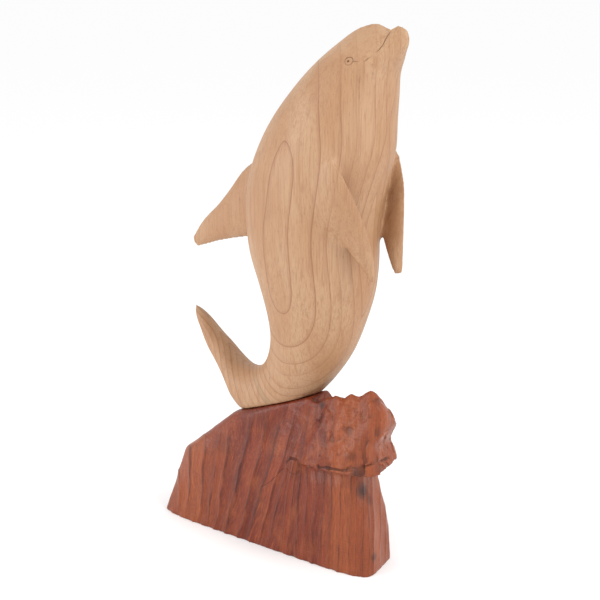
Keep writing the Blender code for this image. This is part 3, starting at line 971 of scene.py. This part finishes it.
@dataclass
class DolphinFigure:
    """The dolphin: the solid's form, smoothed, with mouth, eyes and small checks cut in.

    The mouth's places run from the cheek to the notch at its front. The fairings are lengths in
    edges of the mesh over two pi. The holds say how firmly a point is held in place by them,
    against 1 elsewhere.
    """

    node: str = "dolphin"
    edge: float = 0.00132
    first_fairing: float = 0.9
    fairing: float = 1.9
    last_fairing: float = 0.7
    edge_hold: float = 7.0
    face_edge_hold: float = 6.0
    face_crease_hold: float = 45.0
    sole_hold: float = 900.0
    outside_face_hold: float = 1e4
    face_from: float = 350.0
    face_full: float = 365.0
    thin_angle: float = math.radians(42)
    mouth: tuple[Place, ...] = (
        (92.3, -22.4, 377.6),
        (94.8, -19.8, 380.6),
        (96.3, -17.8, 382.2),
        (98.0, -15.7, 384.1),
        (99.8, -13.6, 386.7),
        (101.0, -11.2, 389.7),
        (101.3, -8.9, 392.9),
        (101.8, -6.7, 395.8),
        (102.3, -4.6, 398.1),
        (100.8, -2.4, 397.3),
        (99.8, 0.0, 396.8),
    )
    mouth_line: float = 0.7
    mouth_depth: float = 1.0
    mouth_fade: float = 380.5
    fin_root: Place = (75.5, -38.4, 315.0)
    jaw_tip: Place = (105.9, 0.0, 402.1)
    eye: Place = (83.4, -25.8, 379.3)
    eye_radius: float = 3.0
    eye_line: float = 0.56
    eye_depth: float = 0.4
    ball_rise: float = 0.25
    pupil: float = 1.1
    pupil_depth: float = 0.5
    corner_line: float = 0.42
    check_depth: float = 0.12
    unevenness: float = 0.00016
    unevenness_size: float = 0.024

    def above_seat(self, points: np.ndarray) -> np.ndarray:
        """How far each point stands above the seat's plane, in millimetres."""
        plane = SEAT_HEIGHT + (points[:, 0] - SEAT_MIDDLE) * math.tan(SEAT_TILT)
        return (points[:, 2] - plane) * math.cos(SEAT_TILT)

    def folded(self, points: np.ndarray) -> np.ndarray:
        """The points, with those of the left side mirrored to the right."""
        return np.stack([points[:, 0], -np.abs(points[:, 1]), points[:, 2]], axis=1)

    def in_face(self, points: np.ndarray) -> np.ndarray:
        """Whether each point lies near the mouth or an eye.

        Args:
            points: The points, in millimetres.

        Returns:
            Yes or no for each point.
        """
        right = self.folded(points)
        mouth = near_line(right, self.mouth) < 3.0
        eye = distance(right, self.eye) < self.eye_radius + 2.2
        corner = near_line(right, self.eye_corner()) < 1.6
        return mouth | eye | corner

    def eye_corner(self) -> tuple[Place, ...]:
        """The short line that runs from the eye towards the mouth."""
        x, y, z = self.eye
        return (x + 2.6, y + 1.0, z - 0.4), (x + 6.4, y + 2.3, z - 0.4)

    def holds(self, relief: Relief) -> np.ndarray:
        """How firmly the fairing leaves each point in place.

        Thin edges and the creases of the face are held, and so is the sole. The creases at the
        roots of the fins are let go, to be eased, and so is the tip of the lower jaw.

        Args:
            relief: The figure's points.

        Returns:
            The hold on each point, 1 as a rule.
        """
        points = relief.points
        curve = relief.spread(relief.sharpness(self.edge * MILLIMETRES), 2)
        face = smooth_step(points[:, 2], self.face_from, self.face_full)
        hold = 1 + (self.edge_hold + self.face_edge_hold * face) * smooth_step(curve, 0.09, 0.30)
        root = smooth_step(distance(self.folded(points), self.fin_root), 15.0, 6.0)
        hold = 1 + (hold - 1) * (1 - root)
        crease = relief.spread(smooth_step(curve, -0.04, -0.12), 8)
        hold = hold * (1 - 0.94 * smooth_step(crease, 0.0, 0.35) * (1 - face))
        hold = hold + self.face_crease_hold * face * smooth_step(curve, -0.09, -0.30)
        hold = hold * (1 - 0.95 * smooth_step(distance(points, self.jaw_tip), 6.0, 2.5))
        hold = hold + self.sole_hold * smooth_step(self.above_seat(points), 1.6, 0.5)
        return relief.spread(hold, 2)

    def fin_edges(self) -> np.ndarray:
        """The solid's thin edges on the fins and the tail, off the face, the foot and the fins' roots.

        Returns:
            The two ends of each edge, in millimetres.
        """
        thin = thin_edges(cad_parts[self.node], self.thin_angle)
        middle = thin.mean(axis=1)
        off_face = middle[:, 2] < self.face_from
        off_foot = self.above_seat(middle) > 6
        off_root = distance(self.folded(middle), self.fin_root) > 12
        return thin[off_face & off_foot & off_root]

    def smooth(self, relief: Relief) -> None:
        """Takes out the solid's facets, and keeps its thin edges clean.

        Args:
            relief: The figure's points.
        """
        relief.relax(self.first_fairing)
        relief.relax(self.fairing, self.holds(relief))
        relief.draw_out(self.fin_edges(), near=0.7, far=2.2)
        relief.relax(self.last_fairing)

    def carve_face(self, relief: Relief) -> None:
        """Cuts the mouth's line and both eyes, darkened with painted shade and stain, most on the eye
        ring's upper arc.

        Args:
            relief: The figure's points.
        """
        right = self.folded(relief.points)
        gap = near_line(right, self.mouth)
        reach = smooth_step(right[:, 2], self.mouth[0][2], self.mouth_fade)
        line = groove(gap, self.mouth_line) * reach
        # The mouth's line is darkened with painted shade and stain.
        relief.press(self.mouth_depth * line, 0.7 * groove(gap, 0.75 * self.mouth_line) * reach)

        from_eye = right - self.eye
        far = np.linalg.norm(from_eye, axis=1)
        ring = groove(np.abs(far - self.eye_radius), self.eye_line)
        # The eye's ring is darkened with painted shade and stain, more on its upper arc, where the shade
        # falls.
        upper_shade = 0.45 + 0.55 * smooth_step(from_eye[:, 2], -0.5, 1.6)
        relief.press(self.eye_depth * ring, 0.9 * ring * upper_shade)
        relief.press(-self.ball_rise * smooth_step(far, self.eye_radius - self.eye_line, 0.8))
        spot = distance(from_eye, (-0.35, 0.0, -0.4))
        # The pupil is darkened with painted shade and stain.
        dark = 0.95 * smooth_step(spot, self.pupil, 0.5 * self.pupil)
        relief.press(self.pupil_depth * groove(spot, self.pupil), dark)
        # The short line at the eye's corner is darkened with painted shade and stain.
        corner = groove(near_line(right, self.eye_corner()), self.corner_line)
        relief.press(0.4 * corner, 0.75 * corner)

    def mark_checks(self, relief: Relief) -> None:
        """Small checks and scratched lines in the right side of the head and the body, darkened with
        painted shade and stain.

        Each has its two ends, seen from the side, its half width and how dark it is painted.

        Args:
            relief: The figure's points.
        """
        checks = (
            ((81.1, 373.6), (80.0, 372.1), 0.45, 0.6),
            ((67.6, 376.4), (66.4, 372.4), 0.40, 0.45),
            ((97.8, 377.3), (97.5, 366.4), 0.30, 0.4),
            ((90.8, 373.3), (91.4, 353.2), 0.30, 0.35),
            ((26.4, 216.5), (25.2, 211.0), 0.55, 0.45),
            ((29.3, 209.5), (28.0, 204.5), 0.45, 0.35),
            ((10.8, 138.6), (10.3, 137.4), 0.70, 0.55),
        )
        for start, end, half_width, shade_and_stain in checks:
            line = groove(near_line(relief.points, (start, end), (0, 2)), half_width)
            line = line * (relief.points[:, 1] < 0)
            relief.press(self.check_depth * line, shade_and_stain * line)

    def build(self) -> bpy.types.Object:
        """Makes the piece.

        Returns:
            The finished object.
        """
        piece = merged_copy("dolphin_figure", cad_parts[self.node])
        remesh(piece, self.edge)
        relief = Relief(piece)
        self.smooth(relief)
        relief.write()
        for _ in range(2):
            refine(piece, self.in_face)
            relief = Relief(piece)
            relief.relax(self.first_fairing, 1 + self.outside_face_hold * ~self.in_face(relief.points))
            relief.write()
        self.carve_face(relief)
        self.mark_checks(relief)
        relief.finish()
        rings = GrowthRings()
        relief.carry(Mark.RING, rings.number(relief.points))
        relief.carry(Mark.RING_STEP, rings.step(relief.points, relief.normals()))
        relief.carry(Mark.FIN, rings.in_fin(relief.points))
        self.sand(piece)
        hand_over(piece, self.node)
        return piece

    def sand(self, piece: bpy.types.Object) -> None:
        """Leaves the slight hollows and swells of sanding by hand, and dresses the piece.

        Args:
            piece: The figure.
        """
        sizes = {"Depth": self.unevenness, "Size": self.unevenness_size, "Seed": 3.0}
        recipe = Recipe("hand_sanding", sizes)
        web = recipe.web
        inputs = {"Vector": recipe.place, "W": recipe.size("Seed"), "Detail": 1.0}
        inputs["Scale"] = web.maths("DIVIDE", 1.0, recipe.size("Size"))
        waves = web.add("ShaderNodeTexNoise", inputs, noise_dimensions="4D").outputs[0]
        _, _, z = web.parts(recipe.place)
        clear = web.climb(z, SEAT_HEIGHT / MILLIMETRES, 0.16)
        recipe.move(web.scaled(recipe.out, web.times(web.spread(waves, recipe.size("Depth")), clear)))
        recipe.apply(piece, PaleWood().material())


@dataclass
class RoughBase:
    """The base: the solid's form, worked over with a gouge, with its crag, knots, crack and stains.

    The crack's places are seen from the front, as x and z. The fan's slopes say how far a flute
    leans to the right for each step up, where it starts at each of the fan's places.
    """

    node: str = "base"
    edge: float = 0.00105
    first_fairing: float = 0.8
    fairing: float = 2.8
    crag_hold: float = 25.0
    rim_hold: float = 400.0
    fan_places: tuple[float, ...] = (-107, -72, -43, -20, 0, 20, 40, 60, 100)
    fan_slopes: tuple[float, ...] = (0.05, 0.13, 0.27, 0.37, 0.35, 0.20, 0.05, 0.06, 0.04)
    front: float = 28.0
    left_pitch: float = 11.0
    right_pitch: float = 8.0
    flute_depth: float = 0.0012
    flute_wander: float = 0.34
    chip_size: float = 0.0075
    chip_depth: float = 0.0017
    seed: int = 11
    wander: Pattern = Pattern((1.0, 1.0, 28.0), 1.0)
    grit: Pattern = Pattern((260.0, 260.0, 180.0), 3.0)
    knot: Place = (34.6, -27.0, 73.0)
    knot_radius: float = 6.4
    ledge: tuple[Place, ...] = (
        (41.5, -26.0, 74.5),
        (49.7, -31.5, 77.9),
        (69.7, -31.6, 82.4),
        (84.0, -30.4, 83.8),
        (94.7, -27.2, 86.8),
        (98.4, -26.2, 88.2),
        (102.3, -26.6, 90.5),
        (105.7, -24.0, 92.1),
        (106.5, -17.0, 91.6),
        (105.9, -7.9, 90.6),
        (103.6, 1.8, 88.9),
    )
    crack: Profile = ((24.5, 69.0), (20.5, 64.5), (17.7, 60.5), (12.0, 54.5), (4.3, 48.5))

    def smooth(self, relief: Relief) -> None:
        """Takes out the solid's facets on the tooled sides, and holds the crag and the rims.

        Args:
            relief: The base's points.
        """
        relief.relax(self.first_fairing)
        x, _, z = relief.points.T
        crag = smooth_step(z, 78, 84) * smooth_step(x, 20, 45)
        hold = 1 + self.crag_hold * crag + self.rim_hold * smooth_step(z, 2.0, 0.6)
        relief.relax(self.fairing, relief.spread(hold, 3))

    def flute_number(self, points: np.ndarray) -> np.ndarray:
        """The gouge flute at each point, counted from the left end and whole at each rim.

        The flutes are straight and fan out: upright at both ends of the front, leaning to the
        right between them.

        Args:
            points: The points, in millimetres.

        Returns:
            One number for each point.
        """
        x, y, z = points.T
        foot = x
        for _ in range(16):
            foot = x - np.interp(foot, self.fan_places, self.fan_slopes) * z
        chance = np.random.default_rng(self.seed)
        rims = [-200.0]
        while rims[-1] < 200:
            pitch = np.interp(rims[-1], (-60, 60), (self.left_pitch, self.right_pitch))
            rims.append(rims[-1] + pitch * chance.uniform(0.65, 1.35))
        return np.interp(foot + y + self.front, rims, np.arange(len(rims)))

    def near_detail(self, points: np.ndarray) -> np.ndarray:
        """Whether each point lies where the block's own marks need a finer mesh.

        Args:
            points: The points, in millimetres.

        Returns:
            Yes or no for each point.
        """
        ledge = near_line(points, self.ledge) < 3.5
        crack = near_line(points, self.crack, (0, 2)) < 2.0
        knot = distance(points, self.knot) < self.knot_radius + 3.5
        return (points[:, 1] < 5) & (ledge | crack | knot)

    def carve_lines(self, relief: Relief, points: np.ndarray, front: np.ndarray) -> None:
        """Cuts the line under the crag's ledge, painted dark as its shadow, and the fine crack that runs
        down from the knot.

        Args:
            relief: The base's points.
            points: Where they stood before anything was cut.
            front: Which points are on the front side, from 0 to 1.
        """
        gap = near_line(points, self.ledge)
        # The line under the ledge is painted dark, as painted shadow beneath the overhang.
        relief.press(1.5 * groove(gap, 2.2) * front, 0.85 * groove(gap, 1.7) * front)
        gap = near_line(points, self.crack, (0, 2))
        relief.press(0.5 * groove(gap, 0.7) * front, 0.6 * groove(gap, 0.6) * front)

    def carve_knot(self, relief: Relief, points: np.ndarray, front: np.ndarray) -> None:
        """Cuts the ring round the knot, open on one side, and the fine rings inside it. The ring is painted
        dark as its shadow, most on its upper left.

        Args:
            relief: The base's points.
            points: Where they stood before anything was cut.
            front: Which points are on the front side, from 0 to 1.
        """
        across, _, up = (points - self.knot).T
        far = np.hypot(across, up)
        turn = np.abs(np.arctan2(up, across) - math.radians(125))
        crescent = 0.35 + 0.65 * smooth_step(turn, math.radians(100), math.radians(30))
        ring = groove(np.abs(far - self.knot_radius), 1.5) * crescent * front
        # The ring round the knot is darkened as painted shadow, most on its upper left.
        relief.press(1.3 * ring, 0.75 * ring)
        rings = groove(np.abs(far % 1.9 - 0.95), 0.5) * smooth_step(far, self.knot_radius, 2.0) * front
        relief.press(0.12 * rings, 0.25 * rings)

    def carve_marks(self, relief: Relief) -> None:
        """Cuts the block's own marks, with painted shadow under the ledge and round the knot, and darkens
        its stains: each a place, a radius and how dark it is.

        Args:
            relief: The base's points.
        """
        points = relief.points
        front = smooth_step(points[:, 1], 6, -2)
        self.carve_lines(relief, points, front)
        self.carve_knot(relief, points, front)
        stains = (
            ((92.5, -13.8, 64.5), 9.0, 0.85),
            ((93.2, -8.3, 56.0), 7.0, 0.5),
            ((97.0, -28.0, 84.0), 9.0, 0.7),
            ((54.5, -15.9, 124.0), 5.0, 0.8),
            ((91.7, -28.9, 96.1), 6.0, 0.45),
            ((102.9, -13.1, 14.0), 5.0, 0.7),
            ((5.0, -25.0, 98.0), 16.0, 0.12),
            ((-38.0, -25.0, 72.0), 14.0, 0.25),
        )
        for spot, radius, dark in stains:
            relief.darken(dark * smooth_step(distance(points, spot), radius, 0.15 * radius))

    def flutes(self, recipe: Recipe, crag: Socket, seat: Socket) -> Socket:
        """Makes the mesh carry its flutes' numbers and how strong the tooling is.

        Args:
            recipe: The tree that is wired.
            crag: How much each point is part of the crag.
            seat: How high the seat's slope stands there.

        Returns:
            How far each point goes out, level, in shares of the flutes' depth. It is below 0.
        """
        web = recipe.web
        _, _, z = web.parts(recipe.place)
        nx, ny, nz = web.parts(recipe.out)
        counted = recipe.carried(Mark.FLUTE)
        wander = web.noise(web.join(counted, recipe.size("Seed"), z), self.wander)
        flute = web.maths("ADD", counted, web.spread(wander, recipe.size("Flute Wander")))
        inside = web.maths("MULTIPLY_ADD", web.maths("FRACT", flute), 2.0, -1.0)
        hollow = web.maths("SUBTRACT", 1.0, web.times(inside, inside))
        whole = web.maths("FLOOR", flute)
        own = web.climb(web.chance(whole), 0.0, 1.0, 0.35, 1.0, smooth=False)
        lean = web.spread(web.chance(web.maths("ADD", whole, 41.0)), 0.35)
        hollow = web.maths("MULTIPLY_ADD", lean, inside, hollow)

        clear = web.climb(web.maths("SUBTRACT", seat, z), 0.002, 0.022)
        steep = web.maths("ADD", web.times(nx, nx), web.times(ny, ny))
        flat = web.climb(web.maths("POWER", steep, 0.5), 0.1, 0.5)
        back = web.climb(ny, 0.0, 0.5, 1.0, 0.6)
        above_crag = web.maths("MULTIPLY_ADD", crag, -0.75, 1.0)
        share = web.times(flat, back, above_crag, web.climb(z, 0.0, 0.012, 0.35, 1.0), clear)
        side = web.climb(web.maths("ABSOLUTE", nz), 0.85, 0.5)
        recipe.store(Mark.FLUTE, flute)
        recipe.store(Mark.WORK, web.times(share, side))
        return web.times(hollow, web.times(share, own), -1.0)

    def chips(self, recipe: Recipe, crag: Socket, seat: Socket) -> Socket:
        """Makes the mesh carry how its chips lean.

        Args:
            recipe: The tree that is wired.
            crag: How much each point is part of the crag.
            seat: How high the seat's slope stands there.

        Returns:
            How far each point goes out, in metres.
        """
        web = recipe.web
        x, _, z = web.parts(recipe.place)
        scale = web.maths("DIVIDE", 1.0, recipe.size("Chip Size"))
        spread_out = web.scaled(recipe.place, (1.0, 1.0, 0.75))
        cell = web.add("ShaderNodeTexVoronoi", {"Vector": spread_out, "Scale": scale}, feature="F1")
        from_middle = web.scaled(web.vector("SUBTRACT", spread_out, cell.outputs["Position"]), scale)
        tilt = web.vector("SUBTRACT", cell.outputs["Color"], (0.5, 0.5, 0.5))
        dot = web.add("ShaderNodeVectorMath", {0: from_middle, 1: tilt}, operation="DOT_PRODUCT")
        lean = dot.outputs["Value"]
        scoop = web.times(lean, recipe.size("Chip Depth"))
        small = web.noise(recipe.place, self.grit)
        small = web.spread(small, web.times(recipe.size("Chip Depth"), 0.22))
        chips = web.times(web.maths("ADD", scoop, small), web.maths("MAXIMUM", crag, 0.10))
        above_floor = web.climb(z, 0.0008, 0.003)
        open_top = web.climb(web.maths("SUBTRACT", z, seat), -0.0005, -0.0035)
        past_seat = web.climb(x, 0.046, 0.053)
        recipe.store(Mark.CHIP, web.times(lean, web.times(crag, above_floor)))
        return web.times(chips, above_floor, web.maths("MAXIMUM", open_top, past_seat))

    def work_over(self, piece: bpy.types.Object) -> None:
        """Leaves the gouge's flutes on the sides and its chips on the crag, and dresses the piece.

        Args:
            piece: The base.
        """
        sizes = {
            "Flute Depth": self.flute_depth,
            "Flute Wander": self.flute_wander,
            "Chip Size": self.chip_size,
            "Chip Depth": self.chip_depth,
            "Seed": 4.0,
        }
        recipe = Recipe("gouge_work", sizes)
        web = recipe.web
        x, _, z = web.parts(recipe.place)
        nx, ny, _ = web.parts(recipe.out)
        level = web.vector("NORMALIZE", web.join(nx, ny, 0.0))
        crag = web.times(web.climb(z, 0.078, 0.084), web.climb(x, 0.02, 0.045))
        seat = seat_plane(web, x, 1 / MILLIMETRES)
        push = web.times(self.flutes(recipe, crag, seat), recipe.size("Flute Depth"))
        chips = self.chips(recipe, crag, seat)
        recipe.move(web.vector("ADD", web.scaled(level, push), web.scaled(recipe.out, chips)))
        recipe.apply(piece, RedBrownWood().material())

    def build(self) -> bpy.types.Object:
        """Makes the piece.

        Returns:
            The finished object.
        """
        piece = merged_copy("rough_base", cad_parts[self.node])
        remesh(piece, self.edge)
        relief = Relief(piece)
        self.smooth(relief)
        relief.write()
        refine(piece, self.near_detail)
        relief = Relief(piece)
        relief.carry(Mark.FLUTE, self.flute_number(relief.points))
        self.carve_marks(relief)
        relief.finish()
        self.work_over(piece)
        hand_over(piece, self.node)
        return piece


@dataclass(frozen=True)
class Lamp:
    """A square soft light that faces the sculpture.

    It hangs so far to the camera's right of the sculpture's middle, so far behind and above it.
    """

    name: str
    right: float
    back: float
    up: float
    size: float
    power: float


@dataclass
class Studio:
    """A plain pale floor, soft light from above and both sides, and the camera."""

    middle: Place = (0.0345, 0.0, 0.2)
    turn: float = math.radians(38)
    distance: float = 0.95
    eye_height: float = 0.4515
    aim_side: float = -0.0107
    aim_height: float = 0.1983
    focus: float = 1313.0
    far_clip: float = 200.0
    floor_reach: float = 40.0
    sky: float = 1.04
    lamps: tuple[Lamp, ...] = (
        Lamp("top_light", right=0.75, back=-0.6, up=1.0, size=0.5, power=8.0),
        Lamp("left_light", right=-1.1, back=-0.3, up=0.2, size=0.7, power=5.5),
        Lamp("right_light", right=0.75, back=-0.75, up=-0.1, size=0.5, power=2.0),
    )

    def level(self, right: float, back: float) -> Vector:
        """A level step in metres, to the camera's right and away from it.

        Args:
            right: How far to the right.
            back: How far away.

        Returns:
            The step.
        """
        across = Vector((math.cos(self.turn), math.sin(self.turn), 0))
        away = Vector((-math.sin(self.turn), math.cos(self.turn), 0))
        return across * right + away * back

    def camera(self) -> None:
        """Sets the camera where the photograph was taken from."""
        middle = Vector((self.middle[0], self.middle[1], 0))
        eye = middle + self.level(0, -self.distance) + Vector((0, 0, self.eye_height))
        aim = middle + self.level(self.aim_side, 0) + Vector((0, 0, self.aim_height))
        data = bpy.data.cameras.new("camera")
        data.sensor_width = SENSOR_WIDTH
        data.lens = self.focus / PHOTO_WIDTH * SENSOR_WIDTH
        data.clip_end = self.far_clip
        camera = bpy.data.objects.new("camera", data)
        camera.location = eye
        camera.rotation_euler = (aim - eye).to_track_quat("-Z", "Y").to_euler()
        bpy.context.scene.collection.objects.link(camera)
        bpy.context.scene.camera = camera

    def floor(self) -> None:
        """Lays the floor."""
        reach = self.floor_reach
        corners = [(-reach, -reach, 0), (reach, -reach, 0), (reach, reach, 0), (-reach, reach, 0)]
        mesh = bpy.data.meshes.new("floor")
        mesh.from_pydata(corners, [], [(0, 1, 2, 3)])
        mesh.materials.append(Paper().material())
        floor = bpy.data.objects.new("floor", mesh)
        bpy.context.scene.collection.objects.link(floor)

    def hang(self, lamp: Lamp) -> None:
        """Hangs a soft light.

        Args:
            lamp: Its place, size and power.
        """
        middle = Vector(self.middle)
        data = bpy.data.lights.new(lamp.name, "AREA")
        data.size = lamp.size
        data.energy = lamp.power
        light = bpy.data.objects.new(lamp.name, data)
        light.location = middle + self.level(lamp.right, lamp.back) + Vector((0, 0, lamp.up))
        light.rotation_euler = (middle - light.location).to_track_quat("-Z", "Y").to_euler()
        bpy.context.scene.collection.objects.link(light)

    def build(self) -> None:
        """Sets up the light, the floor and the camera."""
        scene = bpy.context.scene
        scene.view_settings.view_transform = "Standard"
        world = bpy.data.worlds.new("world")
        world.use_nodes = True
        background = world.node_tree.nodes["Background"]
        background.inputs["Color"].default_value = (1.0, 1.0, 1.0, 1.0)
        background.inputs["Strength"].default_value = self.sky
        scene.world = world
        for lamp in self.lamps:
            self.hang(lamp)
        self.floor()
        self.camera()
        log.info("studio: floor, %d lights and camera are set", len(self.lamps))


def corners(bounds: Sequence[Sequence[float]]) -> list[list[float]]:
    """The two corners of a box as plain lists of numbers."""
    return [[float(v) for v in corner] for corner in bounds]


def main() -> None:
    """Builds the studio and both pieces."""
    logging.basicConfig(level=logging.INFO, format="%(name)s: %(message)s")
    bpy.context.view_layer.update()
    Studio().build()
    DolphinFigure().build()
    RoughBase().build()


if __name__ == "__main__":
    main()
